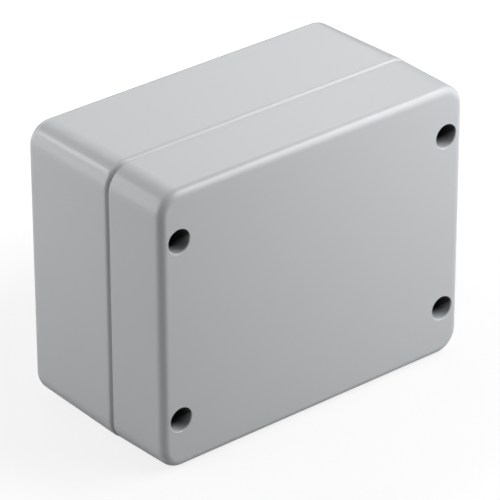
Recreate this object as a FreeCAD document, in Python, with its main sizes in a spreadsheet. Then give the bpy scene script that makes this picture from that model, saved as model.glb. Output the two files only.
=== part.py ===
import FreeCAD, Part
import os

import Sketcher
from FreeCAD import Placement, Rotation, Vector

# Die cast aluminium box
# A base and a lid, both cast in aluminium with draft towards their closed
# sides, meet at a parting plane and are held by four captive screws that sit
# in deep wells of the lid. The seal runs inside the screws: a tongue on the
# base presses on a gasket in a groove of the lid.
# The box stands on a long side: X runs along its width, the lid faces -Y, the
# mounting face looks to +Y and Z is up. Each piece is drawn in the castings'
# own frame, whose z starts at the mounting face and ends at the lid's front.

# Driving sizes in millimetres, angles in degrees
SIZES = {
    # Outside of the closed box
    "width": 140.0,
    "height": 110.0,
    "base_depth": 48.0,
    "lid_depth": 27.0,
    "draft": 1.25,
    "corner_round": 9.7,
    "rear_round": 4.5,
    "rim_round": 2.9,
    "front_round": 3.1,
    "lid_inset": 0.25,
    # Walls of the castings
    "rim_wall": 5.6,
    "floor_wall": 4.0,
    "lid_wall": 4.0,
    "inner_draft": 1.5,
    "cavity_round": 6.0,
    "pier_reach": 7.0,
    "pier_round": 5.0,
    # Seal
    "tongue_width": 1.2,
    "tongue_height": 2.0,
    "groove_depth": 4.0,
    "groove_play": 0.4,
    "lip_width": 1.6,
    "gasket_play": 0.1,
    # Lid screws and their wells
    "screw_edge_x": 9.0,
    "screw_edge_y": 20.0,
    "well_radius": 4.45,
    "well_mouth_round": 0.5,
    "seat_wall": 6.0,
    "head_radius": 4.1,
    "head_height": 3.3,
    "head_round": 0.4,
    "slot_width": 1.3,
    "slot_depth": 1.6,
    "neck_radius": 1.95,
    "neck_play": 0.15,
    "thread_radius": 2.45,
    "thread_length": 9.0,
    "thread_play": 0.05,
    "thread_drop": 9.2,
    "entry_play": 0.3,
    "tip_chamfer": 0.6,
    "tip_room": 1.8,
    "washer_radius": 4.2,
    "washer_thickness": 0.8,
    # Wells for mounting from the front, outside the seal
    "mount_edge": 9.5,
    "mount_well_x": 4.2,
    "mount_well_y": 5.0,
    "mount_well_round": 2.0,
    "mount_hole_radius": 3.0,
    "mount_floor": 5.0,
    "lid_pocket_depth": 15.0,
    # Bosses for a mounting plate
    "boss_edge_x": 28.0,
    "boss_edge_y": 17.0,
    "boss_radius": 4.0,
    "boss_height": 6.0,
    "boss_root_round": 1.0,
    "boss_hole_radius": 1.65,
    "boss_hole_depth": 7.5,
    # Earth terminals, one in each casting
    "earth_x": 22.0,
    "earth_edge_y": 18.0,
    "earth_boss_radius": 5.5,
    "earth_boss_height": 6.0,
    "earth_thread_radius": 1.95,
    "earth_thread_play": 0.05,
    "earth_reach": 6.0,
    "earth_hole_depth": 7.5,
    "earth_head_radius": 3.8,
    "earth_head_height": 2.6,
    "earth_slot_width": 1.1,
    "earth_slot_depth": 1.3,
    "spring_radius": 3.6,
    "spring_thickness": 1.0,
    "spring_gap": 0.8,
    "clamp_side": 9.4,
    "clamp_round": 1.2,
    "clamp_thickness": 1.2,
    "earth_bore_play": 0.15,
    # How far a cutting bar runs past the edge that it cuts
    "cut_past": 1.0,
}

# Outlines that follow the cavity's edge, by their distance outside it
OFFSETS = {
    "cavity": "0",
    "tongue": "Sizes.tongue_width",
    "groove_outer": "Sizes.tongue_width + Sizes.groove_play",
    "groove_inner": "-Sizes.groove_play",
    "lip": "-Sizes.groove_play - Sizes.lip_width",
    "gasket_outer": "Sizes.tongue_width + Sizes.groove_play - Sizes.gasket_play",
    "gasket_inner": "-Sizes.groove_play + Sizes.gasket_play",
}

# Sizes worked out from the driving ones
DERIVED = {
    # The rounded rim stays this far inside the sharp corner of the drafted wall
    "rim_relief": "Sizes.rim_round * (1 / tan((90 - Sizes.draft) * 0.5 deg) - 1)",
    "shell_x": "Sizes.width / 2 + rim_relief",
    "shell_y": "Sizes.height / 2 + rim_relief",
    "lid_x": "Sizes.width / 2 - Sizes.lid_inset",
    "lid_y": "Sizes.height / 2 - Sizes.lid_inset",
    "lid_corner": "Sizes.corner_round - Sizes.lid_inset",
    # Levels above the mounting face
    "rim_level": "Sizes.base_depth",
    "tongue_level": "Sizes.base_depth + Sizes.tongue_height",
    "front_level": "Sizes.base_depth + Sizes.lid_depth",
    "boss_level": "Sizes.floor_wall + Sizes.boss_height",
    "earth_level": "Sizes.floor_wall + Sizes.earth_boss_height",
    "ceiling_level": "Sizes.base_depth + Sizes.lid_depth - Sizes.lid_wall",
    "lid_earth_level": "ceiling_level - Sizes.earth_boss_height",
    "gasket_level": "tongue_level",
    "seat_level": "Sizes.base_depth + Sizes.seat_wall",
    "head_level": "seat_level + Sizes.washer_thickness",
    # Reaches that hold a round boss or well, its draft and nothing else
    "boss_zone": "Sizes.boss_radius + Sizes.boss_root_round",
    "earth_zone": "Sizes.earth_boss_radius + Sizes.boss_root_round",
    "well_zone": "Sizes.well_radius + Sizes.well_mouth_round",
    # Depths and lengths
    "cavity_depth": "tongue_level - Sizes.floor_wall",
    "ceiling_depth": "Sizes.lid_depth - Sizes.lid_wall",
    "well_depth": "Sizes.lid_depth - Sizes.seat_wall",
    "gasket_height": "Sizes.groove_depth - Sizes.tongue_height",
    "mount_well_depth": "Sizes.base_depth - Sizes.mount_floor",
    "neck_length": "Sizes.washer_thickness + Sizes.seat_wall + Sizes.thread_drop",
    "neck_end": "-neck_length",
    "screw_hole_depth": "Sizes.thread_drop + Sizes.thread_length + Sizes.tip_room",
    # Radii that fit one another
    "entry_radius": "Sizes.thread_radius + Sizes.entry_play",
    "screw_hole_radius": "Sizes.thread_radius + Sizes.thread_play",
    "seat_hole_radius": "Sizes.neck_radius + Sizes.neck_play",
    "washer_hole_radius": "Sizes.neck_radius + Sizes.neck_play",
    "earth_hole_radius": "Sizes.earth_thread_radius + Sizes.earth_thread_play",
    "earth_bore_radius": "Sizes.earth_thread_radius + Sizes.earth_bore_play",
    # Places
    "screw_x": "Sizes.width / 2 - Sizes.screw_edge_x",
    "screw_y": "Sizes.height / 2 - Sizes.screw_edge_y",
    "mount_x": "screw_x",
    "mount_y": "Sizes.height / 2 - Sizes.mount_edge",
    "mount_in_x": "mount_x - Sizes.mount_well_x",
    "mount_out_x": "mount_x + Sizes.mount_well_x",
    "mount_in_y": "mount_y - Sizes.mount_well_y",
    "mount_out_y": "mount_y + Sizes.mount_well_y",
    "boss_x": "Sizes.width / 2 - Sizes.boss_edge_x",
    "boss_y": "Sizes.height / 2 - Sizes.boss_edge_y",
    "earth_y": "Sizes.height / 2 - Sizes.earth_edge_y",
    "earth_stack": "Sizes.clamp_thickness + Sizes.spring_thickness",
    "earth_shank": "earth_stack + Sizes.earth_reach",
    "clamp_half": "Sizes.clamp_side / 2",
    # Half widths and reaches of the bars that cut slots and splits
    "slot_half": "Sizes.slot_width / 2",
    "slot_reach": "Sizes.head_radius + Sizes.cut_past",
    "earth_slot_half": "Sizes.earth_slot_width / 2",
    "earth_slot_reach": "Sizes.earth_head_radius + Sizes.cut_past",
    "spring_gap_half": "Sizes.spring_gap / 2",
    "spring_reach": "Sizes.spring_radius + Sizes.cut_past",
}

QUADRANTS = ((1, 1), (-1, 1), (-1, -1), (1, -1))

doc = FreeCAD.newDocument("diecast_box")
sizes = doc.addObject("Spreadsheet::Sheet", "Sizes")
derived = doc.addObject("Spreadsheet::Sheet", "Derived")


def fill(sheet, cells):
    """Write each value to a row of the sheet and give it its name."""
    for row, (name, content) in enumerate(cells.items(), start=1):
        sheet.set("A%d" % row, name)
        sheet.set("B%d" % row, str(content))
        sheet.setAlias("B%d" % row, name)


fill(sizes, SIZES)
formulas = dict(DERIVED)
for outline_name, offset in OFFSETS.items():
    reach_x = "screw_x - Sizes.pier_reach"
    reach_y = "screw_y - Sizes.pier_reach"
    formulas[outline_name + "_x"] = "Sizes.width / 2 - Sizes.rim_wall + " + offset
    formulas[outline_name + "_y"] = "Sizes.height / 2 - Sizes.rim_wall + " + offset
    formulas[outline_name + "_pier_x"] = reach_x + " + " + offset
    formulas[outline_name + "_pier_y"] = reach_y + " + " + offset
    formulas[outline_name + "_round"] = "Sizes.cavity_round + " + offset
    formulas[outline_name + "_pier_round"] = "Sizes.pier_round - (" + offset + ")"
fill(derived, {name: "=" + formula for name, formula in formulas.items()})
doc.recompute()


def ref(name):
    """The expression that reads a named size from its sheet."""
    sheet = "Sizes" if name in SIZES else "Derived"
    return "%s.%s" % (sheet, name)


def value(name):
    """The present number of a named size."""
    sheet = sizes if name in SIZES else derived
    return float(sheet.get(name))


def new_body(name):
    body = doc.addObject("PartDesign::Body", name)
    body.Label = name
    return body


def new_sketch(body, name, level=None):
    """A sketch parallel to the mounting face, at a named level above it."""
    sketch = body.newObject("Sketcher::SketchObject", name)
    planes = {plane.Role: plane for plane in body.Origin.OriginFeatures}
    sketch.AttachmentSupport = [(planes["XY_Plane"], "")]
    sketch.MapMode = "FlatFace"
    if level:
        sketch.setExpression("AttachmentOffset.Base.z", ref(level))
    return sketch


def bind(sketch, constraint, name):
    """Add a constraint and tie its number to a named size."""
    index = sketch.addConstraint(constraint)
    sketch.setExpression("Constraints[%d]" % index, ref(name))


def hold(sketch, kind, sign, item, point, name):
    """Hold a point at a named distance from the origin, on the side of sign."""
    first, second = ((-1, 1), (item, point)) if sign > 0 else ((item, point), (-1, 1))
    bind(sketch, Sketcher.Constraint(kind, *first, *second, value(name)), name)


def closed_outline(sketch, corners):
    """Straight sides along X and Y, joined by an arc at each corner.

    A corner is (sign of x, name of x, sign of y, name of y, name of radius).
    """
    points = [Vector(sx * value(x), sy * value(y), 0) for sx, x, sy, y, _ in corners]
    count = len(points)
    first = sketch.GeometryCount
    turns = []
    starts = []
    ends = []
    for index, (point, corner) in enumerate(zip(points, corners)):
        radius = value(corner[4])
        before = (point - points[index - 1]).normalize()
        after = (points[(index + 1) % count] - point).normalize()
        starts.append(point - before * radius)
        ends.append(point + after * radius)
        turns.append(before.cross(after).z > 0)
    for index in range(count):
        centre = starts[index] + ends[index] - points[index]
        rays = [starts[index] - centre, ends[index] - centre]
        if not turns[index]:
            rays.reverse()
        angles = [Vector(1, 0, 0).getAngle(ray) * (1 if ray.y >= 0 else -1) for ray in rays]
        circle = Part.Circle(centre, Vector(0, 0, 1), value(corners[index][4]))
        sketch.addGeometry(Part.ArcOfCircle(circle, angles[0], angles[1]))
        sketch.addGeometry(Part.LineSegment(ends[index], starts[(index + 1) % count]))
    for index, (sign_x, name_x, sign_y, name_y, radius) in enumerate(corners):
        arc = first + 2 * index
        side = arc + 1
        last_side = first + (2 * index - 1) % (2 * count)
        enter, leave = (1, 2) if turns[index] else (2, 1)
        sketch.addConstraint(Sketcher.Constraint("Tangent", last_side, 2, arc, enter))
        sketch.addConstraint(Sketcher.Constraint("Tangent", arc, leave, side, 1))
        step = points[(index + 1) % count] - points[index]
        if abs(step.x) < abs(step.y):
            sketch.addConstraint(Sketcher.Constraint("Vertical", side))
            hold(sketch, "DistanceX", sign_x, side, 1, name_x)
        else:
            sketch.addConstraint(Sketcher.Constraint("Horizontal", side))
            hold(sketch, "DistanceY", sign_y, side, 1, name_y)
        bind(sketch, Sketcher.Constraint("Radius", arc, value(radius)), radius)


def rounded_rectangle(sketch, half_x, half_y, radius):
    corners = [(sx, half_x, sy, half_y, radius) for sx, sy in QUADRANTS]
    closed_outline(sketch, corners)


def seal_outline(sketch, name):
    """The cavity's cross shape, which steps in at the four corner piers."""
    turn = name + "_round"
    pier = name + "_pier_round"
    quarter = [
        (name + "_x", name + "_pier_y", turn),
        (name + "_pier_x", name + "_pier_y", pier),
        (name + "_pier_x", name + "_y", turn),
    ]
    corners = []
    for sign_x, sign_y in QUADRANTS:
        order = 1 if sign_x == sign_y else -1
        for x, y, radius in quarter[::order]:
            corners.append((sign_x, x, sign_y, y, radius))
    closed_outline(sketch, corners)


def corner_wells(sketch):
    """The four mounting wells, one in each corner outside the seal."""
    for sign_x, sign_y in QUADRANTS:
        corners = [
            (sign_x, x, sign_y, y, "mount_well_round")
            for x, y in (
                ("mount_in_x", "mount_in_y"),
                ("mount_out_x", "mount_in_y"),
                ("mount_out_x", "mount_out_y"),
                ("mount_in_x", "mount_out_y"),
            )
        ]
        closed_outline(sketch, corners)


def circle(sketch, radius, sign_x=0, name_x=None, sign_y=0, name_y=None):
    """A circle of a named radius at the origin or at a named place."""
    x = sign_x * value(name_x) if name_x else 0
    y = sign_y * value(name_y) if name_y else 0
    index = sketch.addGeometry(Part.Circle(Vector(x, y, 0), Vector(0, 0, 1), value(radius)))
    bind(sketch, Sketcher.Constraint("Radius", index, value(radius)), radius)
    if name_x:
        hold(sketch, "DistanceX", sign_x, index, 3, name_x)
        hold(sketch, "DistanceY", sign_y, index, 3, name_y)
    else:
        sketch.addConstraint(Sketcher.Constraint("Coincident", index, 3, -1, 1))


def four_circles(sketch, radius, name_x, name_y):
    for sign_x, sign_y in QUADRANTS:
        circle(sketch, radius, sign_x, name_x, sign_y, name_y)


def extrude(body, kind, name, sketch, length, upward, taper=None):
    """A pad or pocket of a named length that runs up or down from its sketch."""
    before = body.Shape.Volume if body.Tip else 0.0
    feature = body.newObject("PartDesign::" + kind, name)
    feature.Profile = sketch
    feature.Type = "Length"
    feature.setExpression("Length", ref(length))
    feature.Reversed = upward != (kind == "Pad")
    if taper:
        feature.setExpression("TaperAngle", "-%s * 1 deg" % ref(taper))
    doc.recompute()
    change = feature.Shape.Volume - before
    if change * (1 if kind == "Pad" else -1) <= 0:
        raise ValueError("%s changes the volume by %.2f" % (name, change))
    return feature


def edges_where(shape, test):
    """Names of the edges whose every vertex and middle pass the test."""
    names = []
    for index, edge in enumerate(shape.Edges, start=1):
        first, last = edge.ParameterRange
        points = [edge.valueAt(first + share * (last - first)) for share in (0.0, 0.5, 1.0)]
        if all(test(point) for point in points):
            names.append("Edge%d" % index)
    return names


def round_edges(body, name, radius, test, kind="Fillet"):
    before = body.Tip
    feature = body.newObject("PartDesign::" + kind, name)
    feature.Base = (before, edges_where(before.Shape, test))
    feature.setExpression("Radius" if kind == "Fillet" else "Size", ref(radius))
    doc.recompute()
    return feature


def at_level(name):
    level = value(name)
    return lambda point: abs(point.z - level) < 1e-4


def around(place_x, place_y, level, furthest):
    """Edges at a named level that keep within a named distance of four places.

    The places lie at plus and minus the two named distances from the centre.
    """
    def test(point):
        off = Vector(abs(point.x) - value(place_x), abs(point.y) - value(place_y), 0)
        return off.Length < value(furthest) and at_level(level)(point)
    return test


def set_in_box(body, place=None, level=None, lift=None, turned=False):
    """Place a piece from the castings' frame in the standing box.

    place is (sign of x, name of x, sign of y, name of y). The piece's origin is
    at the named level, raised by the named lift along its own axis, which
    points to the lid, or to the mounting face where the piece is turned.
    """
    turn = Rotation(Vector(1, 0, 0), -90 if turned else 90)
    body.Placement = Placement(Vector(0, 0, 0), turn)
    depth = "(%s + %s) / 2" % (ref("base_depth"), ref("lid_depth"))
    rise = " - " + ref(level) if level else ""
    if lift:
        rise += " %s %s" % ("+" if turned else "-", ref(lift))
    body.setExpression("Placement.Base.y", depth + rise)
    side = ""
    if place:
        body.setExpression("Placement.Base.x", "%d * %s" % (place[0], ref(place[1])))
        side = " + %d * %s" % (place[2], ref(place[3]))
    body.setExpression("Placement.Base.z", "%s / 2%s" % (ref("height"), side))


def base_casting():
    body = new_body("base_casting")
    sketch = new_sketch(body, "base_outline", "rim_level")
    rounded_rectangle(sketch, "shell_x", "shell_y", "corner_round")
    extrude(body, "Pad", "base_block", sketch, "base_depth", upward=False, taper="draft")
    round_edges(body, "rear_edge", "rear_round", lambda point: abs(point.z) < 1e-4)
    round_edges(body, "rim_edge", "rim_round", at_level("rim_level"))

    sketch = new_sketch(body, "tongue_outline", "rim_level")
    seal_outline(sketch, "tongue")
    extrude(body, "Pad", "tongue", sketch, "tongue_height", upward=True)
    sketch = new_sketch(body, "cavity_outline", "tongue_level")
    seal_outline(sketch, "cavity")
    extrude(body, "Pocket", "cavity", sketch, "cavity_depth", upward=False, taper="inner_draft")

    sketch = new_sketch(body, "boss_outline", "floor_wall")
    four_circles(sketch, "boss_radius", "boss_x", "boss_y")
    extrude(body, "Pad", "plate_bosses", sketch, "boss_height", upward=True, taper="inner_draft")
    feet = around("boss_x", "boss_y", "floor_wall", "boss_zone")
    round_edges(body, "boss_roots", "boss_root_round", feet)
    sketch = new_sketch(body, "boss_holes_outline", "boss_level")
    four_circles(sketch, "boss_hole_radius", "boss_x", "boss_y")
    extrude(body, "Pocket", "boss_holes", sketch, "boss_hole_depth", upward=False)

    sketch = new_sketch(body, "earth_outline", "floor_wall")
    circle(sketch, "earth_boss_radius", -1, "earth_x", -1, "earth_y")
    extrude(body, "Pad", "earth_boss", sketch, "earth_boss_height", upward=True, taper="inner_draft")
    foot = around("earth_x", "earth_y", "floor_wall", "earth_zone")
    round_edges(body, "earth_root", "boss_root_round", foot)
    sketch = new_sketch(body, "earth_hole_outline", "earth_level")
    circle(sketch, "earth_hole_radius", -1, "earth_x", -1, "earth_y")
    extrude(body, "Pocket", "earth_hole", sketch, "earth_hole_depth", upward=False)

    sketch = new_sketch(body, "screw_entry_outline", "rim_level")
    four_circles(sketch, "entry_radius", "screw_x", "screw_y")
    extrude(body, "Pocket", "screw_entries", sketch, "thread_drop", upward=False)
    sketch = new_sketch(body, "screw_hole_outline", "rim_level")
    four_circles(sketch, "screw_hole_radius", "screw_x", "screw_y")
    extrude(body, "Pocket", "screw_holes", sketch, "screw_hole_depth", upward=False)

    sketch = new_sketch(body, "mount_well_outline", "rim_level")
    corner_wells(sketch)
    extrude(body, "Pocket", "mount_wells", sketch, "mount_well_depth", upward=False)
    sketch = new_sketch(body, "mount_hole_outline", "mount_floor")
    four_circles(sketch, "mount_hole_radius", "mount_x", "mount_y")
    extrude(body, "Pocket", "mount_holes", sketch, "mount_floor", upward=False)
    set_in_box(body)
    return body


def lid_casting():
    body = new_body("lid_casting")
    sketch = new_sketch(body, "lid_outline", "rim_level")
    rounded_rectangle(sketch, "lid_x", "lid_y", "lid_corner")
    extrude(body, "Pad", "lid_block", sketch, "lid_depth", upward=True, taper="draft")
    round_edges(body, "front_edge", "front_round", at_level("front_level"))

    sketch = new_sketch(body, "lip_outline", "rim_level")
    seal_outline(sketch, "lip")
    extrude(body, "Pocket", "lid_hollow", sketch, "ceiling_depth", upward=True, taper="inner_draft")
    sketch = new_sketch(body, "groove_outline", "rim_level")
    seal_outline(sketch, "groove_outer")
    seal_outline(sketch, "groove_inner")
    extrude(body, "Pocket", "groove", sketch, "groove_depth", upward=True)

    sketch = new_sketch(body, "well_outline", "front_level")
    four_circles(sketch, "well_radius", "screw_x", "screw_y")
    extrude(body, "Pocket", "screw_wells", sketch, "well_depth", upward=False)
    mouths = around("screw_x", "screw_y", "front_level", "well_zone")
    round_edges(body, "well_mouths", "well_mouth_round", mouths)
    sketch = new_sketch(body, "seat_hole_outline", "rim_level")
    four_circles(sketch, "seat_hole_radius", "screw_x", "screw_y")
    extrude(body, "Pocket", "seat_holes", sketch, "seat_wall", upward=True)

    sketch = new_sketch(body, "lid_pocket_outline", "rim_level")
    corner_wells(sketch)
    extrude(body, "Pocket", "lid_pockets", sketch, "lid_pocket_depth", upward=True)

    sketch = new_sketch(body, "lid_earth_outline", "ceiling_level")
    circle(sketch, "earth_boss_radius", -1, "earth_x", -1, "earth_y")
    extrude(body, "Pad", "lid_earth_boss", sketch, "earth_boss_height", upward=False, taper="inner_draft")
    foot = around("earth_x", "earth_y", "ceiling_level", "earth_zone")
    round_edges(body, "lid_earth_root", "boss_root_round", foot)
    sketch = new_sketch(body, "lid_earth_hole_outline", "lid_earth_level")
    circle(sketch, "earth_hole_radius", -1, "earth_x", -1, "earth_y")
    extrude(body, "Pocket", "lid_earth_hole", sketch, "earth_hole_depth", upward=True)
    set_in_box(body)
    return body


def gasket():
    body = new_body("gasket")
    sketch = new_sketch(body, "gasket_outline", "gasket_level")
    seal_outline(sketch, "gasket_outer")
    seal_outline(sketch, "gasket_inner")
    extrude(body, "Pad", "gasket_ring", sketch, "gasket_height", upward=True)
    set_in_box(body)
    return body


def bar(sketch, reach, half_width, both_ways):
    """A bar along X from the origin, or from both sides of it, to a named reach."""
    low = -value(reach) if both_ways else 0.0
    points = [
        Vector(low, -value(half_width), 0),
        Vector(value(reach), -value(half_width), 0),
        Vector(value(reach), value(half_width), 0),
        Vector(low, value(half_width), 0),
    ]
    for index in range(4):
        sketch.addGeometry(Part.LineSegment(points[index], points[(index + 1) % 4]))
    for index in range(4):
        sketch.addConstraint(Sketcher.Constraint("Coincident", index, 2, (index + 1) % 4, 1))
        direction = "Horizontal" if index % 2 == 0 else "Vertical"
        sketch.addConstraint(Sketcher.Constraint(direction, index))
    hold(sketch, "DistanceY", -1, 0, 1, half_width)
    hold(sketch, "DistanceY", 1, 2, 1, half_width)
    hold(sketch, "DistanceX", 1, 1, 1, reach)
    if both_ways:
        hold(sketch, "DistanceX", -1, 3, 1, reach)
    else:
        sketch.addConstraint(Sketcher.Constraint("PointOnObject", 3, 1, -2))


def slotted_screw(name, head, neck, thread):
    """A slotted screw whose origin lies under its head, the head upward.

    head is (radius, height, reach of the slot, half its width, its depth), neck
    is (radius, length, level of its end) or None, and thread is (radius,
    length), all by name.
    """
    body = new_body(name)
    sketch = new_sketch(body, name + "_head_outline")
    circle(sketch, head[0])
    extrude(body, "Pad", name + "_head", sketch, head[1], upward=True)
    round_edges(body, name + "_head_edge", "head_round", at_level(head[1]))
    if neck:
        sketch = new_sketch(body, name + "_neck_outline")
        circle(sketch, neck[0])
        extrude(body, "Pad", name + "_neck", sketch, neck[1], upward=False)
    sketch = new_sketch(body, name + "_thread_outline", neck[2] if neck else None)
    circle(sketch, thread[0])
    extrude(body, "Pad", name + "_thread", sketch, thread[1], upward=False)
    tip = min(vertex.Z for vertex in body.Shape.Vertexes)
    at_tip = lambda point: abs(point.z - tip) < 1e-4
    round_edges(body, name + "_tip", "tip_chamfer", at_tip, "Chamfer")
    sketch = new_sketch(body, name + "_slot_outline", head[1])
    bar(sketch, head[2], head[3], both_ways=True)
    extrude(body, "Pocket", name + "_slot", sketch, head[4], upward=False)
    return body


def ring(name, outer, inner, thickness):
    body = new_body(name)
    sketch = new_sketch(body, name + "_outline")
    circle(sketch, outer)
    circle(sketch, inner)
    extrude(body, "Pad", name + "_disc", sketch, thickness, upward=True)
    return body


def cover_screws():
    """The captive screws of the lid, with a washer under each head."""
    made = []
    for number, (sign_x, sign_y) in enumerate(QUADRANTS, start=1):
        place = (sign_x, "screw_x", sign_y, "screw_y")
        screw = slotted_screw(
            "cover_screw_%d" % number,
            ("head_radius", "head_height", "slot_reach", "slot_half", "slot_depth"),
            ("neck_radius", "neck_length", "neck_end"),
            ("thread_radius", "thread_length"),
        )
        set_in_box(screw, place, "head_level")
        name = "screw_washer_%d" % number
        washer = ring(name, "washer_radius", "washer_hole_radius", "washer_thickness")
        set_in_box(washer, place, "seat_level")
        made += [screw, washer]
    return made


def earth_terminal(casting, boss, turned):
    """A square clamp plate, a split spring washer and a screw on a boss."""
    clamp = new_body(casting + "_earth_clamp")
    sketch = new_sketch(clamp, casting + "_clamp_outline")
    rounded_rectangle(sketch, "clamp_half", "clamp_half", "clamp_round")
    circle(sketch, "earth_bore_radius")
    extrude(clamp, "Pad", casting + "_clamp_plate", sketch, "clamp_thickness", upward=True)

    name = casting + "_earth_spring_washer"
    spring = ring(name, "spring_radius", "earth_bore_radius", "spring_thickness")
    sketch = new_sketch(spring, casting + "_spring_gap_outline", "spring_thickness")
    bar(sketch, "spring_reach", "spring_gap_half", both_ways=False)
    extrude(spring, "Pocket", casting + "_spring_gap", sketch, "spring_thickness", upward=False)

    screw = slotted_screw(
        casting + "_earth_screw",
        ("earth_head_radius", "earth_head_height", "earth_slot_reach", "earth_slot_half",
         "earth_slot_depth"),
        None,
        ("earth_thread_radius", "earth_shank"),
    )
    place = (-1, "earth_x", -1, "earth_y")
    for piece, lift in ((clamp, None), (spring, "clamp_thickness"), (screw, "earth_stack")):
        set_in_box(piece, place, boss, lift, turned)
    return [clamp, spring, screw]


pieces = [base_casting(), lid_casting(), gasket()]
pieces += cover_screws()
pieces += earth_terminal("base", "earth_level", turned=False)
pieces += earth_terminal("lid", "lid_earth_level", turned=True)
doc.recompute()

for item in doc.Objects:
    if "Invalid" in item.State or "Error" in item.State:
        raise ValueError("%s failed: %s" % (item.Name, item.State))
for piece in pieces:
    if piece.Shape.isNull() or not piece.Shape.isValid() or len(piece.Shape.Solids) != 1:
        raise ValueError("%s has no sound solid" % piece.Label)

os.makedirs("parts", exist_ok=True)
for piece in pieces:
    piece.Shape.exportStep("parts/%s.step" % piece.Label)
    box = piece.Shape.BoundBox
    print("%-26s %9.1f mm3  x %.2f..%.2f  y %.2f..%.2f  z %.2f..%.2f" % (
        piece.Label, piece.Shape.Volume, box.XMin, box.XMax, box.YMin, box.YMax, box.ZMin, box.ZMax))
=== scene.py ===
# %% [markdown]
# # A die cast aluminium box
#
# The object is a grey powder coated box for electronics: a deep base, a lid on four
# screws that sit far down in round wells, and a seal between the two. Its solids come
# ready made as a fixed frame of named nodes. This lesson gives them their finishes,
# makes the pieces that are too fine for the frame (threads, a rounded seal, split
# washers) and sets up the camera and the light of a plain studio photograph.

from math import cos, pi, radians, sin

import bmesh
import bpy
from mathutils import Matrix, Vector


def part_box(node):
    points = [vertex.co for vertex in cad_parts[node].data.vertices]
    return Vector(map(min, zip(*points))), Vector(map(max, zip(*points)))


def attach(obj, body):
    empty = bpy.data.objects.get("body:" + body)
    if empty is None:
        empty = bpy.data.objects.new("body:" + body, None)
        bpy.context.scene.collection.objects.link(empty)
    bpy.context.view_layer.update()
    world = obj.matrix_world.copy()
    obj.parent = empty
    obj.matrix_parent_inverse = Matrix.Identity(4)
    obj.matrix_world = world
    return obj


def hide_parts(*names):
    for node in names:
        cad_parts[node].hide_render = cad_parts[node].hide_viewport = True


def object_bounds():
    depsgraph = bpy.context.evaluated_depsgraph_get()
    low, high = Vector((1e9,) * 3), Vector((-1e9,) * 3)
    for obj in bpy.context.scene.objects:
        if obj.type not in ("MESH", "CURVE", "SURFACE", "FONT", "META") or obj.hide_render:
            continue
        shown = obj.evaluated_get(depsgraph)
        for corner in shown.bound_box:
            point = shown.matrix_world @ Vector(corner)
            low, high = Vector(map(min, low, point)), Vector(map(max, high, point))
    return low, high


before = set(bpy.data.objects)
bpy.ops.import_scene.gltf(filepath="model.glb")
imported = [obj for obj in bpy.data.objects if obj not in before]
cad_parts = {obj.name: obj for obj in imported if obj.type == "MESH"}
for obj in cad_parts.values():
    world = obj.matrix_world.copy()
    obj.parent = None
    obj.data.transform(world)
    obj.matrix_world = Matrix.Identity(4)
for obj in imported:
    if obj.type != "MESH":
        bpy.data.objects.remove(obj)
MM = 0.001
cad_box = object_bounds()
low, high = cad_box
middle = (low + high) / 2
print("nodes:", len(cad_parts), "size in mm:", [round(v / MM, 1) for v in high - low])

# %% [markdown]
# ## The camera
#
# The photograph is taken from the left and from above with a long lens, so its
# parallel edges hardly draw together. Such a view is set by its turns (yaw about the
# vertical, pitch below the horizon and a trace of roll), by a distance, and by a lens.
# All of them were worked out from the corners of the box in the photograph, and the
# point in the middle of the picture is a little off the centre of the parting line. A
# camera matrix made of the three directions right, up and back is the plainest way to
# place it: there is nothing to track and nothing to drive.

# %% The camera
YAW, PITCH, ROLL = 0.69604, 0.49877, -0.00195
LENS, SENSOR = 271.26, 36
PARTING = -10.5 * MM
HEIGHT = high.z - low.z
distance = 12.17221 * HEIGHT
aim_left, aim_down = 0.05106 * HEIGHT, 0.00492 * HEIGHT

ahead = Vector((sin(YAW) * cos(PITCH), cos(YAW) * cos(PITCH), -sin(PITCH)))
level_right = Vector((cos(YAW), -sin(YAW), 0))
level_up = level_right.cross(ahead)
right = cos(ROLL) * level_right + sin(ROLL) * level_up
up = cos(ROLL) * level_up - sin(ROLL) * level_right
aim = Vector((0, PARTING, middle.z)) - (aim_left * right + aim_down * up)

camera_data = bpy.data.cameras.new("studio_camera")
camera_data.sensor_width = SENSOR
camera_data.lens = LENS
camera_data.clip_start, camera_data.clip_end = 0.1, 20
camera = bpy.data.objects.new("studio_camera", camera_data)
turn = Matrix((right, up, -ahead)).transposed().to_4x4()
camera.matrix_world = Matrix.Translation(aim - ahead * distance) @ turn
bpy.context.scene.collection.objects.link(camera)
bpy.context.scene.camera = camera
print("camera distance in m:", round(distance, 3))

# %% [markdown]
# ## Wires that add and multiply
#
# Materials and Geometry Nodes are both trees of nodes. Written by hand, every sum in
# them takes four lines: a node, its operation and its two links. Python lets a class
# say what + and * mean. So a wire here stands for a node's output and is used like a
# number, and each sum on it adds one Math node. The formulas below then read as
# formulas.

# %% Wires that add and multiply
class Wire:
    """A node's output, on which sums become Math nodes."""

    def __init__(self, bench, socket):
        self.bench = bench
        self.socket = socket

    def out(self, name):
        """Another output of the same node."""
        return Wire(self.bench, self.socket.node.outputs[name])

    def maths(self, operation, *others, clamp=False):
        """A Math node with this wire as its first value."""
        return self.bench.maths(operation, self, *others, clamp=clamp)

    def __add__(self, other):
        return self.maths("ADD", other)

    def __sub__(self, other):
        return self.maths("SUBTRACT", other)

    def __rsub__(self, other):
        return self.bench.maths("SUBTRACT", other, self)

    def __mul__(self, other):
        return self.maths("MULTIPLY", other)

    def __truediv__(self, other):
        return self.maths("DIVIDE", other)

    def __abs__(self):
        return self.maths("ABSOLUTE")

    __radd__ = __add__
    __rmul__ = __mul__


print("a wire's own words:", [word for word in vars(Wire) if not word.startswith("_")])

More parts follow.
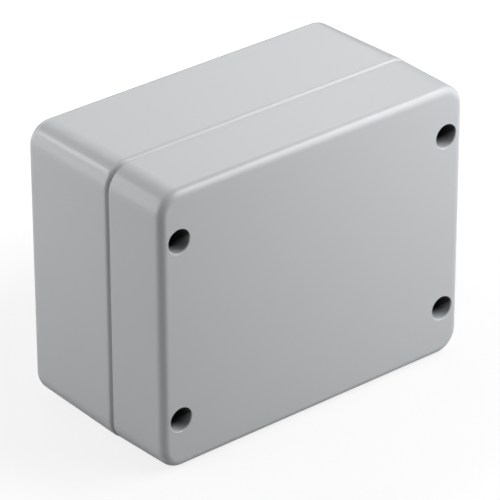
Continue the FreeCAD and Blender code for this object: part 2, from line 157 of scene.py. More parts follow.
# %% [markdown]
# ## A bench for nodes
#
# The wires come from a bench: one node tree in the making. It adds a node with its
# settings and its inputs in one call and hands back its first output. An input is
# either a wire, which is linked, or a plain value, which is set on the socket. The
# same bench serves materials, the world and Geometry Nodes, so it is written once.

# %% A bench for nodes
class Bench:
    """A node tree in the making."""

    def __init__(self, tree):
        self.tree = tree

    def add(self, kind, settings=None, *values, **named):
        """Add a node. Inputs go by place, or by name with _ for each space."""
        node = self.tree.nodes.new(kind)
        for name, setting in (settings or {}).items():
            setattr(node, name, setting)
        sockets = [socket for socket in node.inputs if socket.enabled]
        for socket, value in zip(sockets, values):
            self.feed(socket, value)
        for name, value in named.items():
            wanted = name.replace("_", " ")
            self.feed(next(s for s in sockets if s.name == wanted), value)
        outputs = [socket for socket in node.outputs if socket.enabled]
        return Wire(self, outputs[0]) if outputs else None

    def feed(self, socket, value):
        """Link a wire to a socket, or set a plain value on it."""
        if isinstance(value, Wire):
            self.tree.links.new(value.socket, socket)
        else:
            socket.default_value = value

    def maths(self, operation, *values, clamp=False):
        """Add a Math node."""
        settings = {"operation": operation, "use_clamp": clamp}
        return self.add("ShaderNodeMath", settings, *values)


trial = bpy.data.node_groups.new("trial", "ShaderNodeTree")
total = Bench(trial).add("ShaderNodeValue") * 2 + 1
print("nodes for 2 v + 1:", len(trial.nodes), "the last one:", total.socket.node.operation)
bpy.data.node_groups.remove(trial)

# %% [markdown]
# ## Opening and closing a finish
#
# Each finish is a material with one Principled surface, which covers powder, metal and
# rubber alike. Its nodes are made in the order in which one thinks of them: first the
# material with an empty tree, then the patterns, and last the surface with all that
# the patterns feed.

# %% Opening and closing a finish
def finish(name):
    """A new material and the bench of its empty tree."""
    material = bpy.data.materials.new(name)
    material.use_nodes = True
    material.node_tree.nodes.clear()
    return material, Bench(material.node_tree)


def end_finish(bench, **looks):
    """Close a material with one surface. Its sockets go by name, _ for each space."""
    surface = bench.add("ShaderNodeBsdfPrincipled", None, **looks)
    bench.add("ShaderNodeOutputMaterial", None, surface)


print("materials so far:", len(bpy.data.materials))

# %% [markdown]
# ## Words for a pattern
#
# What a finish needs again and again is small: the place of a point, a noise of a given
# grain in real millimetres, a soft step on either side of a limit, and the distance
# from an axis. All patterns read Object coordinates. Every piece sits at the origin,
# so these are the same metres as the frame's, and a pattern can be laid exactly around
# a screw or along a wall.

# %% Words for a pattern
def place_of(bench):
    """A point's own place, and the same as three numbers."""
    place = bench.add("ShaderNodeTexCoord").out("Object")
    parts = bench.add("ShaderNodeSeparateXYZ", None, place)
    return place, parts.out("X"), parts.out("Y"), parts.out("Z")


def noise(place, grain, detail=2.0):
    """Noise from 0 to 1 whose lumps are about grain metres wide."""
    return place.bench.add("ShaderNodeTexNoise", None, Vector=place, Scale=1 / grain,
                           Detail=detail)


def stretched(place, x, y, z):
    """A place that runs faster or slower along each axis."""
    return place.bench.add("ShaderNodeMapping", None, Vector=place, Scale=(x, y, z))


def below(value, limit, soft):
    """1 where value is under the limit, 0 above it, with a soft edge."""
    return ((limit - value) / soft).maths("ADD", 0.5, clamp=True)


def above(value, limit, soft):
    """1 where value is over the limit, 0 under it, with a soft edge."""
    return ((value - limit) / soft).maths("ADD", 0.5, clamp=True)


def length_of(across, along):
    """The distance of a point from an axis, from its two offsets."""
    return (across * across + along * along).maths("SQRT")


print("scale of a noise of 1 mm grain:", 1 / MM)

# %% [markdown]
# ## Words for colour and relief
#
# A real surface is never one flat colour, and its relief is told in hundredths of a
# millimetre. So colours are mixed of two near shades, and a relief is written in
# millimetres and turned into a bump. A bump is right for what is too fine to change
# the outline. All that does change it is modelled further on.

# %% Words for colour and relief
def lit(colour, share):
    """A colour with a share of its light."""
    return [value * share for value in colour]


def blend_colour(share, first, second):
    """A mix of two colours, each a wire or three numbers."""
    first, second = (c if isinstance(c, Wire) else (*c, 1) for c in (first, second))
    return share.bench.add("ShaderNodeMix", {"data_type": "RGBA"},
                           Factor=share, A=first, B=second)


def bumped(height):
    """A normal for a relief whose height is in millimetres."""
    return height.bench.add("ShaderNodeBump", None, Strength=1.0, Distance=1 * MM,
                            Height=height)


print("half of white:", lit((1, 1, 1), 0.5))

# %% [markdown]
# ## The castings: where the coat ends
#
# Such a box is cast in aluminium, blasted and powder coated. The powder is sprayed on
# from outside, so it thins out a few millimetres inside the rim, and the inside shows
# the bare casting. Each casting is one node, so the border between coat and metal is a
# mask in the material, in the shape of the seal's outline. Drawing it with the box's
# real sizes is better than painting it, since it stays sharp at any distance.
#
# The lid's screw wells get painted shade: a few millimetres down their colour turns near black,
# later on their lower walls, where light from above falls in.

# %% The castings: where the coat ends
CAVITY_X, CAVITY_Z = 64.4 * MM, 49.4 * MM
PIER_X, PIER_Z = 54.0 * MM, 28.0 * MM
SCREW_X, SCREW_Z = 61.0 * MM, 35.0 * MM
SCREW_SEAT = -16.5 * MM
WELL_REACH = 4.9 * MM
# The painted shade in the wells starts sooner by this much per unit of height above the axis, and
# fades in over this depth.
SHADE_SLOPE, SHADE_FADE = 1.2, 3.2 * MM


def seal_mask(x, z, grow):
    """1 inside the cross shaped outline of the seal, grown by a distance."""
    soft = 0.4 * MM
    wide = below(x, CAVITY_X + grow, soft) * below(z, PIER_Z + grow, soft)
    tall = below(x, PIER_X + grow, soft) * below(z, CAVITY_Z + grow, soft)
    return wide.maths("MAXIMUM", tall)


def painted_well_shade(shade_start, x, y, z, centred_z, ragged):
    """A mask of painted shade that rises from 0 to 1 in the lid's screw wells.

    The first argument is the depth where the shade starts to rise, at the height of the well's
    axis; on the upper walls it starts sooner.
    """
    in_well = below(length_of(x - SCREW_X, z - SCREW_Z), WELL_REACH, 0.1 * MM)
    in_well = in_well * below(y, SCREW_SEAT + 0.5 * MM, 0.2 * MM)
    above_axis = (z - SCREW_Z) * centred_z.maths("SIGN")
    depth = y - shade_start + above_axis * SHADE_SLOPE + ragged * 0.1
    return in_well * depth.maths("DIVIDE", SHADE_FADE, clamp=True)


print("clear height between the piers in mm:", round(2 * PIER_Z / MM, 1))

# %% [markdown]
# ## The castings: tapped holes and pin marks
#
# The holes are tapped after coating. Their threads are too fine for the solids, so a
# helix in the bump shows them: the height follows the depth in the hole plus the angle
# round its axis, which is what a thread is. The mask has a start and an end, or it
# would show again as discs on the back. The pins that push a casting out of its mould
# leave round marks on its floor, one in each quarter here.

# %% The castings: tapped holes and pin marks
BOSS_X, BOSS_Z = 42.0 * MM, 38.0 * MM
PIN_SPOT, PIN_RADIUS = 18 * MM, 3 * MM


def tapped(spot, radius, start, end, pitch, x, y, z, side):
    """The mask and the relief of four tapped holes that lie evenly round the centre.

    side is -1 where a folded quarter is a mirror image, so that every helix
    climbs the same way.
    """
    across, along = x - spot[0], z - spot[1]
    near = below(length_of(across, along), radius, 0.1 * MM)
    near = near * above(y, start, 0.2 * MM) * below(y, end, 0.2 * MM)
    angle = along.maths("ARCTAN2", across)
    climb = y / pitch + angle * side / (2 * pi)
    return near, climb.maths("PINGPONG", 0.5)


def pin_marks(x, y, z, floor_y):
    """1 in the four round marks on a floor at a given depth."""
    round_mark = below(length_of(x - PIN_SPOT, z - PIN_SPOT), PIN_RADIUS, 0.25 * MM)
    return round_mark * below(abs(y - floor_y), 0.4 * MM, 0.1 * MM)


# Where in x and z, reach from the axis, first and last depth, and pitch.
cover_tap = ((SCREW_X, SCREW_Z), 3.1 * MM, PARTING + 0.2 * MM, 12 * MM, 0.8 * MM)
boss_tap = ((BOSS_X, BOSS_Z), 1.9 * MM, 27.7 * MM, 36 * MM, 0.7 * MM)
print("turns of thread in a cover hole:", round((cover_tap[3] - cover_tap[2]) / cover_tap[4]))

# %% [markdown]
# ## The castings: coat and bare metal
#
# The coat is a satin grey with a very fine orange peel, about a hundredth of a
# millimetre high, and the faintest of clouds. The bare casting is a duller metal with
# soft marks of its flow, drawn out along the depth. Each look is one function that
# gives a colour, a roughness and a relief, so the two can be mixed by one mask.

# %% The castings: coat and bare metal
COAT = (0.545, 0.560, 0.574)
BARE = (0.56, 0.565, 0.57)


def coat_look(place, grit):
    """Colour, roughness and relief of the powder coat."""
    peel = noise(place, 0.9 * MM, detail=1.0)
    cloud = noise(place, 22 * MM)
    colour = blend_colour(cloud * 0.35 + grit * 0.25, lit(COAT, 0.985), lit(COAT, 1.015))
    return colour, 0.27 + grit * 0.06, peel * 0.011


def metal_look(place, grit, pin_mark):
    """Colour, roughness and relief of the bare casting."""
    flow = noise(stretched(place, 1.0, 0.25, 0.35), 5 * MM, detail=4.0)
    colour = blend_colour(flow * 0.8 + pin_mark * 0.3, lit(BARE, 0.86), BARE)
    return colour, 0.46 + flow * 0.14, flow * 0.055 + grit * 0.02 + pin_mark * 0.09


print("grey of coat and metal:", *(round(sum(c) / 3, 3) for c in (COAT, BARE)))

# %% [markdown]
# ## The castings: both finishes
#
# One function serves both castings, since they come out of the same shop and differ
# only in where things are. The base's rim is linished after casting, which leaves a
# fine bevel. In the photograph it is the bright line along the parting. Here the bump
# tilts the rim's last millimetres by as much. The border of the coat is moved to and
# fro by a noise, as spray never ends in a straight line.

# %% The castings: both finishes
RIM_WIDTH, RIM_DROP = 2 * MM, 0.58
THREAD_DEPTH = 0.6
# A near black for the painted shade deep in the lid's screw wells.
SHADED = (0.03, 0.03, 0.032)


def casting_finish(name, bare_from, bare_to, grow, floor_y, taps=(), rim=None,
                   shade_start=None):
    """Powder coat, bare metal inside the seal between two depths, and painted shade in the lid's
    screw wells where asked.
    """
    material, bench = finish(name)
    place, plain_x, y, plain_z = place_of(bench)
    centred_z = plain_z - middle.z
    x, z = abs(plain_x), abs(centred_z)
    ragged = (noise(place, 6 * MM) - 0.5) * (5 * MM)
    grit = noise(place, 0.25 * MM, detail=3.0)

    inside = seal_mask(x, z, grow)
    inside = inside * above(y - ragged, bare_from, 1 * MM) * below(y + ragged, bare_to, 1 * MM)
    coat, coat_rough, coat_relief = coat_look(place, grit)
    metal, metal_rough, metal_relief = metal_look(place, grit, pin_marks(x, y, z, floor_y))
    height = inside * metal_relief + (1 - inside) * coat_relief
    if rim is not None:
        bevel = below(y, rim + RIM_WIDTH / 2, RIM_WIDTH)
        height = height - (1 - inside) * bevel * RIM_DROP
    side = plain_x.maths("SIGN") * centred_z.maths("SIGN")
    for tap in taps:
        near, climb = tapped(*tap, x, y, z, side)
        height = height + near * climb * THREAD_DEPTH
        inside = inside.maths("MAXIMUM", near)

    colour = blend_colour(inside, coat, metal)
    rough = inside * metal_rough + (1 - inside) * coat_rough
    # Painted shade: from a given depth the lid's screw wells turn near black, and duller.
    if shade_start is not None:
        well_shade = painted_well_shade(shade_start, x, y, z, centred_z, ragged)
        colour = blend_colour(well_shade, colour, SHADED)
        rough = rough + well_shade * 0.6
    end_finish(bench, Base_Color=colour, Metallic=inside, Roughness=rough,
               Normal=bumped(height), IOR=1.5)
    return material


base_finish = casting_finish(
    "base_powder_coat", bare_from=-8.5 * MM, bare_to=34.5 * MM, grow=0.5 * MM,
    floor_y=33.5 * MM, taps=(cover_tap, boss_tap), rim=PARTING)
# The lid's screw wells get painted shade as well.
lid_finish = casting_finish(
    "lid_powder_coat", bare_from=-34.5 * MM, bare_to=-14 * MM, grow=-1.6 * MM,
    floor_y=-33.5 * MM, shade_start=-38 * MM)
for material in (base_finish, lid_finish):
    print("nodes in", material.name + ":", len(material.node_tree.nodes))

# %% [markdown]
# ## Turned metal
#
# The screws are turned steel with a thin bright plating. Turning leaves rings round the
# axis, so their relief is a wave of the distance from the axis. An anisotropic surface
# could fake them, but rings in the relief keep their true spacing at any distance. All
# four lid screws share one material: folding the box's coordinates about its middle
# brings every screw to the same spot.

# %% Turned metal
STEEL = (0.60, 0.60, 0.59)
EARTH_X, EARTH_Z = -22 * MM, 18 * MM
RING_STEP = 0.16 * MM


def turned_finish(name, colour, spot, folded):
    """Metal with turning rings round an axis at spot, in x and z."""
    material, bench = finish(name)
    place, x, _, z = place_of(bench)
    if folded:
        x, z = abs(x), abs(z - middle.z)
    smear = noise(place, 1.5 * MM, detail=3.0)
    wave = length_of(x - spot[0], z - spot[1]) / RING_STEP + smear * 0.7
    rings = wave.maths("PINGPONG", 0.5)
    shade = blend_colour(smear * 0.7 + rings * 0.3, lit(colour, 0.86), colour)
    end_finish(bench, Base_Color=shade, Metallic=1.0, Roughness=0.24 + smear * 0.12,
               Normal=bumped(rings * 0.012 + smear * 0.01))
    return material


lid_screw_steel = turned_finish("lid_screw_steel", STEEL, (SCREW_X, SCREW_Z), folded=True)
earth_screw_steel = turned_finish("earth_screw_steel", STEEL, (EARTH_X, EARTH_Z), folded=False)
print("turned:", lid_screw_steel.name, "and", earth_screw_steel.name)

# %% [markdown]
# ## Stamped metal
#
# The washers are stamped of plated steel and the square earth clamps of brass. Stamped
# pieces have no rings but short scratches, from the drum in which they are tumbled.
# Two noises, each drawn out along another direction, give them when multiplied: a
# scratch shows only where both are high, so it has two ends.

# %% Stamped metal
PLATED = (0.58, 0.59, 0.60)
BRASS = (0.78, 0.62, 0.33)


def stamped_finish(name, colour, dull):
    """Sheet metal with short tumbling scratches, from a lowest roughness upwards."""
    material, bench = finish(name)
    place, _, _, _ = place_of(bench)
    one_way = noise(stretched(place, 6.0, 1.0, 0.6), 1.2 * MM, detail=3.0)
    other_way = noise(stretched(place, 0.6, 1.0, 6.0), 1.2 * MM, detail=3.0)
    scratch = one_way * other_way
    cloud = noise(place, 3 * MM)
    shade = blend_colour(cloud * 0.6 + scratch * 0.4, lit(colour, 0.82), colour)
    end_finish(bench, Base_Color=shade, Metallic=1.0, Roughness=dull + scratch * 0.3,
               Normal=bumped(scratch * 0.03))
    return material


washer_steel = stamped_finish("washer_steel", PLATED, dull=0.26)
clamp_brass = stamped_finish("clamp_brass", BRASS, dull=0.24)
print("stamped:", washer_steel.name, "and", clamp_brass.name)

# %% [markdown]
# ## The seal's rubber
#
# The seal is a moulded ring of charcoal rubber. Fresh rubber is dark and nearly matt,
# with a grey bloom where it has been handled and a fine grain from its mould. A low
# specular level and two noises are enough, one for the bloom and one for the grain.

# %% The seal's rubber
RUBBER, BLOOM = (0.022, 0.022, 0.024), (0.05, 0.05, 0.052)

seal_rubber, bench = finish("seal_rubber")
place, _, _, _ = place_of(bench)
bloom = noise(place, 9 * MM, detail=3.0)
grain = noise(place, 0.2 * MM)
end_finish(bench, Base_Color=blend_colour(bloom, RUBBER, BLOOM), Roughness=0.62 + grain * 0.16,
           Specular_IOR_Level=0.3, Normal=bumped(grain * 0.02))
print("finish:", seal_rubber.name)

# %% [markdown]
# ## Finishes on the frame's own nodes
#
# The castings, the flat washers and the clamps have their full shape in the frame.
# They stay as they are and only change their material.

# %% Finishes on the frame's own nodes
worn = {"base_casting": base_finish, "lid_casting": lid_finish}
for number in range(1, 5):
    worn["screw_washer_%d" % number] = washer_steel
for casting in ("base", "lid"):
    worn[casting + "_earth_clamp"] = clamp_brass
for node, material in worn.items():
    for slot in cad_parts[node].material_slots:
        slot.material = material
print("nodes with a new finish:", len(worn))

# %% [markdown]
# ## A tree that can grow pieces
#
# Geometry Nodes suit what follows a rule: a thread is a profile swept along a helix,
# a seal is a profile swept along an outline. A tree is built once with named inputs
# and can then grow many pieces of other sizes. Its end is always the same: Realize
# Instances turns everything into real faces, and Set Material dresses them.

# %% A tree that can grow pieces
def new_tree(name, inputs):
    """A geometry tree with named inputs: its bench and a wire for each input."""
    tree = bpy.data.node_groups.new(name, "GeometryNodeTree")
    panel = tree.interface
    panel.new_socket("Geometry", in_out="INPUT", socket_type="NodeSocketGeometry")
    for label, start in inputs.items():
        kind = "NodeSocketInt" if isinstance(start, int) else "NodeSocketFloat"
        panel.new_socket(label, in_out="INPUT", socket_type=kind).default_value = start
    panel.new_socket("Material", in_out="INPUT", socket_type="NodeSocketMaterial")
    panel.new_socket("Geometry", in_out="OUTPUT", socket_type="NodeSocketGeometry")
    bench = Bench(tree)
    entry = bench.add("NodeGroupInput")
    return bench, {label: entry.out(label) for label in ("Geometry", *inputs, "Material")}


def end_tree(bench, shape, material):
    """Close a tree with real geometry and one material."""
    real = bench.add("GeometryNodeRealizeInstances", None, shape)
    dressed = bench.add("GeometryNodeSetMaterial", None, Geometry=real, Material=material)
    bench.add("NodeGroupOutput", None, dressed)


print("trees so far:", len(bpy.data.node_groups))

# %% [markdown]
# ## Growing a piece
#
# The modifier that runs a tree only lives on a helper object. Its result is copied to
# a plain mesh, which is turned and moved into the frame's place, and the helper is
# removed, so that the finished piece sits at the origin. Last, doubles are merged and
# faces pointed outwards, and the mesh is shaded smooth up to an angle, so that turned
# sides look round and edges stay crisp.

# %% Growing a piece
TOUCHING = 2e-6


def grow(name, tree, values, material, start=None):
    """Run a tree on a helper object and hand back its result as a plain mesh."""
    helper = bpy.data.objects.new(name, start or bpy.data.meshes.new(name))
    bpy.context.scene.collection.objects.link(helper)
    modifier = helper.modifiers.new(name, "NODES")
    modifier.node_group = tree
    for item in tree.interface.items_tree:
        if item.in_out == "INPUT" and item.name in values:
            modifier[item.identifier] = values[item.name]
        if item.in_out == "INPUT" and item.name == "Material":
            modifier[item.identifier] = material
    seen = helper.evaluated_get(bpy.context.evaluated_depsgraph_get())
    mesh = bpy.data.meshes.new_from_object(seen)
    bpy.data.objects.remove(helper)
    return mesh


def settle(mesh, crease):
    """Merge doubles, point the faces outwards and shade smooth up to an angle."""
    work = bmesh.new()
    work.from_mesh(mesh)
    bmesh.ops.remove_doubles(work, verts=work.verts, dist=TOUCHING)
    bmesh.ops.recalc_face_normals(work, faces=work.faces)
    work.to_mesh(mesh)
    work.free()
    mesh.shade_smooth()
    mesh.set_sharp_from_angle(angle=radians(crease))
    return mesh


print("points that become one, in mm apart:", TOUCHING / MM)

# %% [markdown]
# ## Making it a piece of the box
#
# A finished mesh becomes an object that moves with one body of the box and stands in for some of
# the frame's plain nodes. These lines are the same for every piece, so they are one function.

# %% Making it a piece of the box
def hand_over(name, mesh, body, nodes):
    """Make a finished mesh a piece of the object, in place of some nodes."""
    piece = bpy.data.objects.new(name, mesh)
    bpy.context.scene.collection.objects.link(piece)
    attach(piece, body)
    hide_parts(*nodes)
    return piece


print("nodes that keep their shape:", len(worn), "of", len(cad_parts))

# %% [markdown]
# ## Screw threads: the ridge
#
# A metric thread is a triangle swept along a helix, 0.8 mm a turn on these M5 lid
# screws and 0.7 mm on the M4 earth screws. A Curve Spiral gives the helix, and a four
# pointed circle gives the triangle: its outer point is the crest and its inner half
# is buried in the core. Modelling the helix is dearer than a bump, but the lid screws
# hang free when the lid is off, and a thread shows at its outline.

# %% Screw threads: the ridge
M5_THREAD = {"Crest radius": 2.45 * MM, "Pitch": 0.8 * MM, "Length": 9 * MM}
M4_THREAD = {"Crest radius": 1.95 * MM, "Pitch": 0.7 * MM, "Length": 6 * MM}

bench, given = new_tree("screw_thread", {**M5_THREAD, "Tip": 0.6 * MM, "Steps a turn": 30})
depth = given["Pitch"] * 0.5
run_out = given["Pitch"] * 0.3
path_radius = given["Crest radius"] - depth
core_length = given["Length"] - given["Tip"]
threaded = core_length - run_out * 2
helix = bench.add("GeometryNodeCurveSpiral", None, Resolution=given["Steps a turn"],
                  Rotations=threaded / given["Pitch"], Start_Radius=path_radius,
                  End_Radius=path_radius, Height=threaded, Reverse=False)
helix = bench.add("GeometryNodeSetCurveNormal", {"mode": "Z_UP"}, helix)
ridge = bench.add("GeometryNodeCurvePrimitiveCircle", {"mode": "RADIUS"}, Resolution=4,
                  Radius=depth)
thread = bench.add("GeometryNodeCurveToMesh", None, Curve=helix, Profile_Curve=ridge,
                   Fill_Caps=True)
lift = bench.add("ShaderNodeCombineXYZ", None, 0.0, 0.0, given["Tip"] + run_out)
thread = bench.add("GeometryNodeTransform", None, Geometry=thread, Translation=lift)
print("inputs of the thread:", list(given))

# %% [markdown]
# ## Screw threads: core and tip
#
# The ridge winds round a cylinder, the core of the screw, and a short cone leads its
# tip into the hole. Both are primitives that take the same inputs as the ridge, so the
# parts of any screw that the tree grows fit together by themselves.

# %% Screw threads: core and tip
AROUND = 60

core_radius = path_radius - depth * 0.12
core = bench.add("GeometryNodeMeshCylinder", None, Vertices=AROUND, Radius=core_radius,
                 Depth=core_length)
lift = bench.add("ShaderNodeCombineXYZ", None, 0.0, 0.0, given["Tip"] + core_length * 0.5)
core = bench.add("GeometryNodeTransform", None, Geometry=core, Translation=lift)
tip = bench.add("GeometryNodeMeshCone", None, Vertices=AROUND, Radius_Top=core_radius,
                Radius_Bottom=core_radius - given["Tip"] * 0.7, Depth=given["Tip"])
joined = bench.add("GeometryNodeJoinGeometry")
for shape in (thread, core, tip):
    bench.tree.links.new(shape.socket, joined.socket.node.inputs[0])
end_tree(bench, joined, given["Material"])
thread_tree = bench.tree
print("nodes of the thread's tree:", len(thread_tree.nodes))

# %% [markdown]
# ## The screws: keeping head and neck
#
# The head with its slot and the smooth neck are already right in the frame, so each
# screw keeps a copy of them: the node's mesh is merged, cut off where the thread
# starts, closed there and joined with the grown thread. A head built anew could only
# come out in another size than the solid's.

# %% The screws: keeping head and neck
def head_and_neck(node, cut_y, keep_low):
    """A merged copy of a screw's node without its plain thread cylinder."""
    work = bmesh.new()
    work.from_mesh(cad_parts[node].data)
    bmesh.ops.remove_doubles(work, verts=work.verts, dist=TOUCHING)
    everything = [*work.verts, *work.edges, *work.faces]
    bmesh.ops.bisect_plane(work, geom=everything, plane_co=(0, cut_y, 0), plane_no=(0, 1, 0),
                           clear_outer=keep_low, clear_inner=not keep_low)
    bmesh.ops.holes_fill(work, edges=[e for e in work.edges if e.is_boundary])
    mesh = bpy.data.meshes.new(node + "_head")
    work.to_mesh(mesh)
    work.free()
    return mesh


def join_meshes(name, meshes, material):
    """One settled mesh of several, in one material."""
    work = bmesh.new()
    for mesh in meshes:
        work.from_mesh(mesh)
    for face in work.faces:
        face.material_index = 0
    made = bpy.data.meshes.new(name)
    work.to_mesh(made)
    work.free()
    made.materials.append(material)
    return settle(made, crease=32)


print("faces of a plain screw:", len(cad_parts["cover_screw_1"].data.polygons))

# %% [markdown]
# ## The screws: head and thread together
#
# The lid screws hang in the lid, heads to the front, so their threads run backwards,
# and the two earth screws point opposite ways. One function finds the axis and the tip
# from the node's own box and turns the thread by which body the screw rides on.

# %% The screws: head and thread together
OVERLAP = 0.05 * MM


def finished_screw(name, node, body, sizes, material):
    """A screw whose thread fills the last length of its node."""
    start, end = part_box(node)
    axis = (start + end) / 2
    to_back = body != "lid"
    tip_y = end.y if to_back else start.y
    inward = -1 if to_back else 1
    thread = grow(name, thread_tree, sizes, material)
    turn = Matrix.Rotation(-inward * pi / 2, 4, "X")
    thread.transform(Matrix.Translation((axis.x, tip_y, axis.z)) @ turn)
    cut_y = tip_y + inward * (sizes["Length"] - OVERLAP)
    mesh = join_meshes(name, [head_and_neck(node, cut_y, inward < 0), thread], material)
    return hand_over(name, mesh, body, [node])


screws = []
for number in range(1, 5):
    screws.append(finished_screw("lid_screw_%d" % number, "cover_screw_%d" % number,
                                 "screw_%d" % number, M5_THREAD, lid_screw_steel))
print("faces of a lid screw:", len(screws[0].data.polygons))

# %% [markdown]
# ## The seal: its outline
#
# The seal follows one outline: a cross with rounded corners that runs inside the four
# screws. The outline is written as a list of corners with their radii and turned into
# a chain of points. Every corner is a right angle, so its arc is a quarter of a circle
# between the edge before and the edge after it.

# %% The seal: its outline
SEAL_WIDTH = 1.8 * MM
SEAL_OFF_PIER = 0.6 * MM
OUTER_ROUND, INNER_ROUND = 6.6 * MM, 4.4 * MM

start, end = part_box("gasket")
seal_x = end.x - SEAL_WIDTH / 2
seal_z = (end.z - start.z - SEAL_WIDTH) / 2
pier_x, pier_z = PIER_X + SEAL_OFF_PIER, PIER_Z + SEAL_OFF_PIER


def rounded_chain(corners, steps=9):
    """Points round a closed outline of right angles, each with its own radius."""
    points = []
    for index, (corner, radius) in enumerate(corners):
        before = (corner - corners[index - 1][0]).normalized()
        after = (corners[(index + 1) % len(corners)][0] - corner).normalized()
        centre = corner - before * radius + after * radius
        for step in range(steps + 1):
            angle = step / steps * pi / 2
            points.append(centre - after * radius * cos(angle) + before * radius * sin(angle))
    return points


corners = []
for sx, sz in ((1, 1), (-1, 1), (-1, -1), (1, -1)):
    quarter = [
        (Vector((sx * seal_x, sz * pier_z, 0)), OUTER_ROUND),
        (Vector((sx * pier_x, sz * pier_z, 0)), INNER_ROUND),
        (Vector((sx * pier_x, sz * seal_z, 0)), OUTER_ROUND),
    ]
    corners += quarter if sx == sz else quarter[::-1]
chain = rounded_chain(corners)
print("corners:", len(corners), "points round the seal:", len(chain))

# %% [markdown]
# ## The seal: its sweep
#
# A rounded rectangle is swept along the chain in a node tree. A swept profile gives an
# even section in every corner, which a scaled copy of the outline would not. The tree
# draws it flat, and one turn stands it up in the lid's groove.

# %% The seal: its sweep
STAND_UP = Matrix.Rotation(pi / 2, 4, "X")

links = [(index, (index + 1) % len(chain)) for index in range(len(chain))]
outline = bpy.data.meshes.new("seal_outline")
outline.from_pydata(chain, links, [])

bench, given = new_tree("swept_seal", {"Width": SEAL_WIDTH, "Height": end.y - start.y,
                                       "Round": 0.5 * MM})
path = bench.add("GeometryNodeMeshToCurve", None, given["Geometry"])
path = bench.add("GeometryNodeSetCurveNormal", {"mode": "Z_UP"}, path)
section = bench.add("GeometryNodeCurvePrimitiveQuadrilateral", {"mode": "RECTANGLE"},
                    Width=given["Width"], Height=given["Height"])
section = bench.add("GeometryNodeFilletCurve", {"mode": "POLY"}, Curve=section, Count=4,
                    Radius=given["Round"])
swept = bench.add("GeometryNodeCurveToMesh", None, Curve=path, Profile_Curve=section)
end_tree(bench, swept, given["Material"])

mesh = grow("seal", bench.tree, {}, seal_rubber, outline)
mesh.transform(Matrix.Translation((0, (start.y + end.y) / 2, middle.z)) @ STAND_UP)
seal = hand_over("seal", settle(mesh, crease=40), "lid", ["gasket"])
print("seal: faces", len(mesh.polygons), "reach in mm", [round(v / MM, 2) for v in seal.dimensions])

# %% [markdown]
# ## The earth terminals: a split washer
#
# Each casting has a screw for the earth wire. It presses a square clamp on a boss,
# over a spring washer: a short piece of square wire wound to one turn, cut and left
# slightly open. One turn of a helix with a square section is just that, so the same
# kind of tree as for the thread makes it. A flat ring with a notch would miss the
# step between its two ends.

# %% The earth terminals: a split washer
bench, given = new_tree("spring_washer", {"Outer": 3.6 * MM, "Inner": 2.1 * MM,
                                          "Thickness": 1 * MM, "Gap": 0.8 * MM,
                                          "Rise": 0.14 * MM})
wire_radius = (given["Outer"] + given["Inner"]) * 0.5
share = 1 - given["Gap"] / (wire_radius * (2 * pi))
coil = bench.add("GeometryNodeCurveSpiral", None, Resolution=72, Rotations=share,
                 Start_Radius=wire_radius, End_Radius=wire_radius, Height=given["Rise"])
coil = bench.add("GeometryNodeSetCurveNormal", {"mode": "Z_UP"}, coil)
section = bench.add("GeometryNodeCurvePrimitiveQuadrilateral", {"mode": "RECTANGLE"},
                    Width=given["Outer"] - given["Inner"],
                    Height=given["Thickness"] - given["Rise"])
swept = bench.add("GeometryNodeCurveToMesh", None, Curve=coil, Profile_Curve=section,
                  Fill_Caps=True)
end_tree(bench, swept, given["Material"])
spring_tree = bench.tree
print("inputs of the split washer:", list(given))

# %% [markdown]
# ## The earth terminals: both of them
#
# The washer's depth is read from the node that it stands in for, so base and lid share
# one loop although their terminals face each other. The coil starts at height 0 and
# rises, so it is first centred on its own middle. The earth screws are grown like the
# lid screws, with the finer M4 thread.

# %% The earth terminals: both of them
for casting in ("base", "lid"):
    node = casting + "_earth_spring_washer"
    start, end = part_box(node)
    mesh = grow(node, spring_tree, {}, washer_steel)
    heights = [v.co.z for v in mesh.vertices]
    mesh.transform(Matrix.Translation((0, 0, -(min(heights) + max(heights)) / 2)))
    spot = Matrix.Translation((EARTH_X, (start.y + end.y) / 2, EARTH_Z))
    mesh.transform(spot @ STAND_UP)
    hand_over(casting + "_split_washer", settle(mesh, crease=40), casting, [node])
    screws.append(finished_screw(casting + "_ground_screw", casting + "_earth_screw", casting,
                                 M4_THREAD, earth_screw_steel))
print("screws in all:", len(screws))

# %% [markdown]
# ## The lamps
#
# The photograph is a product shot on a white ground. Each face of the box has a grey
# of its own, and each rounded edge a brighter or darker line, which together tell
# where the lamps stand. The key light and the front fill, in front and to the right,
# set the front's level. The wide side light and the left fill set that of the left
# side, and the back light and the top light that of the top. The three strips are
# small: the satin powder mirrors them as bright lines along its edges. All lamps stay
# at a plain level, so the box renders about as its colours are written.
#
# Seen at a glance, a satin face mirrors a low lamp behind it so strongly that it burns
# out and its outline is lost. The two fills stand low, so they only light the box and
# are left out of its mirror rays.

# %% The lamps
def soft_lamp(name, size, power, azimuth, elevation, away, mirrored=True):
    """A flat lamp of a width and a height that looks at the box from two angles."""
    data = bpy.data.lights.new(name, "AREA")
    data.shape = "RECTANGLE"
    data.size, data.size_y = size
    data.energy = power
    lamp = bpy.data.objects.new(name, data)
    a, e = radians(azimuth), radians(elevation)
    back = Vector((sin(a) * cos(e), -cos(a) * cos(e), sin(e)))
    lamp.location = middle + back * away
    lamp.rotation_euler = (-back).to_track_quat("-Z", "Y").to_euler()
    lamp.visible_glossy = mirrored
    bpy.context.scene.collection.objects.link(lamp)


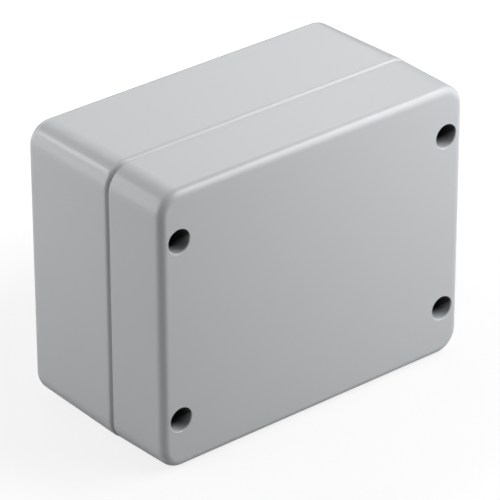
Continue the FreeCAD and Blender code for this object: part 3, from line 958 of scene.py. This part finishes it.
# Size in m, power in W, azimuth from the front and elevation in degrees, distance in m.
soft_lamp("key_light", (0.45, 0.225), 1.17, 46, 48, 0.464)
soft_lamp("front_fill", (0.45, 0.225), 1.17, 46, 20, 0.464, mirrored=False)
soft_lamp("side_light", (0.95, 0.45), 2.1, -136, 16, 0.64)
soft_lamp("left_fill", (0.35, 0.35), 1.05, -108, 20, 0.64, mirrored=False)
soft_lamp("back_light", (0.6, 0.6), 1.48, 155, 30, 0.8)
soft_lamp("top_light", (0.4, 0.4), 0.15, 135, 80, 0.6)
soft_lamp("front_strip", (0.2, 0.12), 0.33, 40, 25, 0.6)
soft_lamp("upper_strip", (0.3, 0.13), 0.4, 58, 50, 0.6)
soft_lamp("side_strip", (0.06, 0.06), 0.2, -142, 32, 0.6)

# %% [markdown]
# ## The white around
#
# The photograph is white all round, but a world that bright would flood the box and
# leave no shading on it. So the world answers each kind of ray in its own way. Camera
# and glass rays see white. Mirror rays see a dim grey, or faces seen at a glance would
# wash out. And what it sheds on the box as light is next to nothing.

# %% The white around
FOR_ALL, FOR_MIRRORS = 0.02, 0.28

world = bpy.data.worlds.new("studio_world")
bpy.context.scene.world = world
world.use_nodes = True
world.node_tree.nodes.clear()
bench = Bench(world.node_tree)
ray = bench.add("ShaderNodeLightPath")
seen = ray.out("Is Camera Ray").maths("MAXIMUM", ray.out("Is Transmission Ray"))
strength = seen * (1 - FOR_ALL) + ray.out("Is Glossy Ray") * FOR_MIRRORS + FOR_ALL
sky = bench.add("ShaderNodeBackground", None, Color=(1, 1, 1, 1), Strength=strength)
bench.add("ShaderNodeOutputWorld", None, sky)
print("world:", world.name)

# %% [markdown]
# ## The floor
#
# All that shows of the floor is a faint soft shadow, which grounds the box. The floor
# is one large plane whose finish mixes two: a white glow for the camera only, and a
# matt grey that takes the shadow. Near the box the matt shows through, and further off
# there is only the glow, so the floor has no edge against the white. It is part of the
# studio, not of the box.

# %% The floor
REACH = 6.0
GLOW = 1.35
MATT_SHARE, MATT_RADIUS, MATT_FADE = 0.4, 0.25, 0.3

floor_finish, bench = finish("studio_floor")
place, floor_x, floor_y, _ = place_of(bench)
matt = bench.add("ShaderNodeBsdfPrincipled", None, Roughness=1.0, Specular_IOR_Level=0.0,
                 Base_Color=blend_colour(noise(place, 120 * MM), [0.38] * 3, [0.42] * 3))
glow = bench.add("ShaderNodeEmission", None, Color=(1, 1, 1, 1), Strength=GLOW)
near = below(length_of(floor_x, floor_y), MATT_RADIUS, MATT_FADE)
for_camera = bench.add("ShaderNodeLightPath").out("Is Camera Ray")
mixed = bench.add("ShaderNodeMixShader", None, for_camera * (1 - MATT_SHARE * near), matt, glow)
bench.add("ShaderNodeOutputMaterial", None, mixed)

mesh = bpy.data.meshes.new("studio_floor")
mesh.from_pydata([(-REACH, -REACH, 0), (REACH, -REACH, 0), (REACH, REACH, 0), (-REACH, REACH, 0)],
                 [], [(0, 1, 2, 3)])
mesh.materials.append(floor_finish)
floor = bpy.data.objects.new("studio_floor", mesh)
bpy.context.scene.collection.objects.link(floor)
bpy.context.scene.view_settings.view_transform = "Standard"
print("floor in m:", [round(v, 1) for v in floor.dimensions])

# %% [markdown]
# ## The pieces and the frame
#
# Every new piece stays inside the solid that it stands in for, so the box of the dressed object
# should be that of the frame to a tenth of a millimetre.
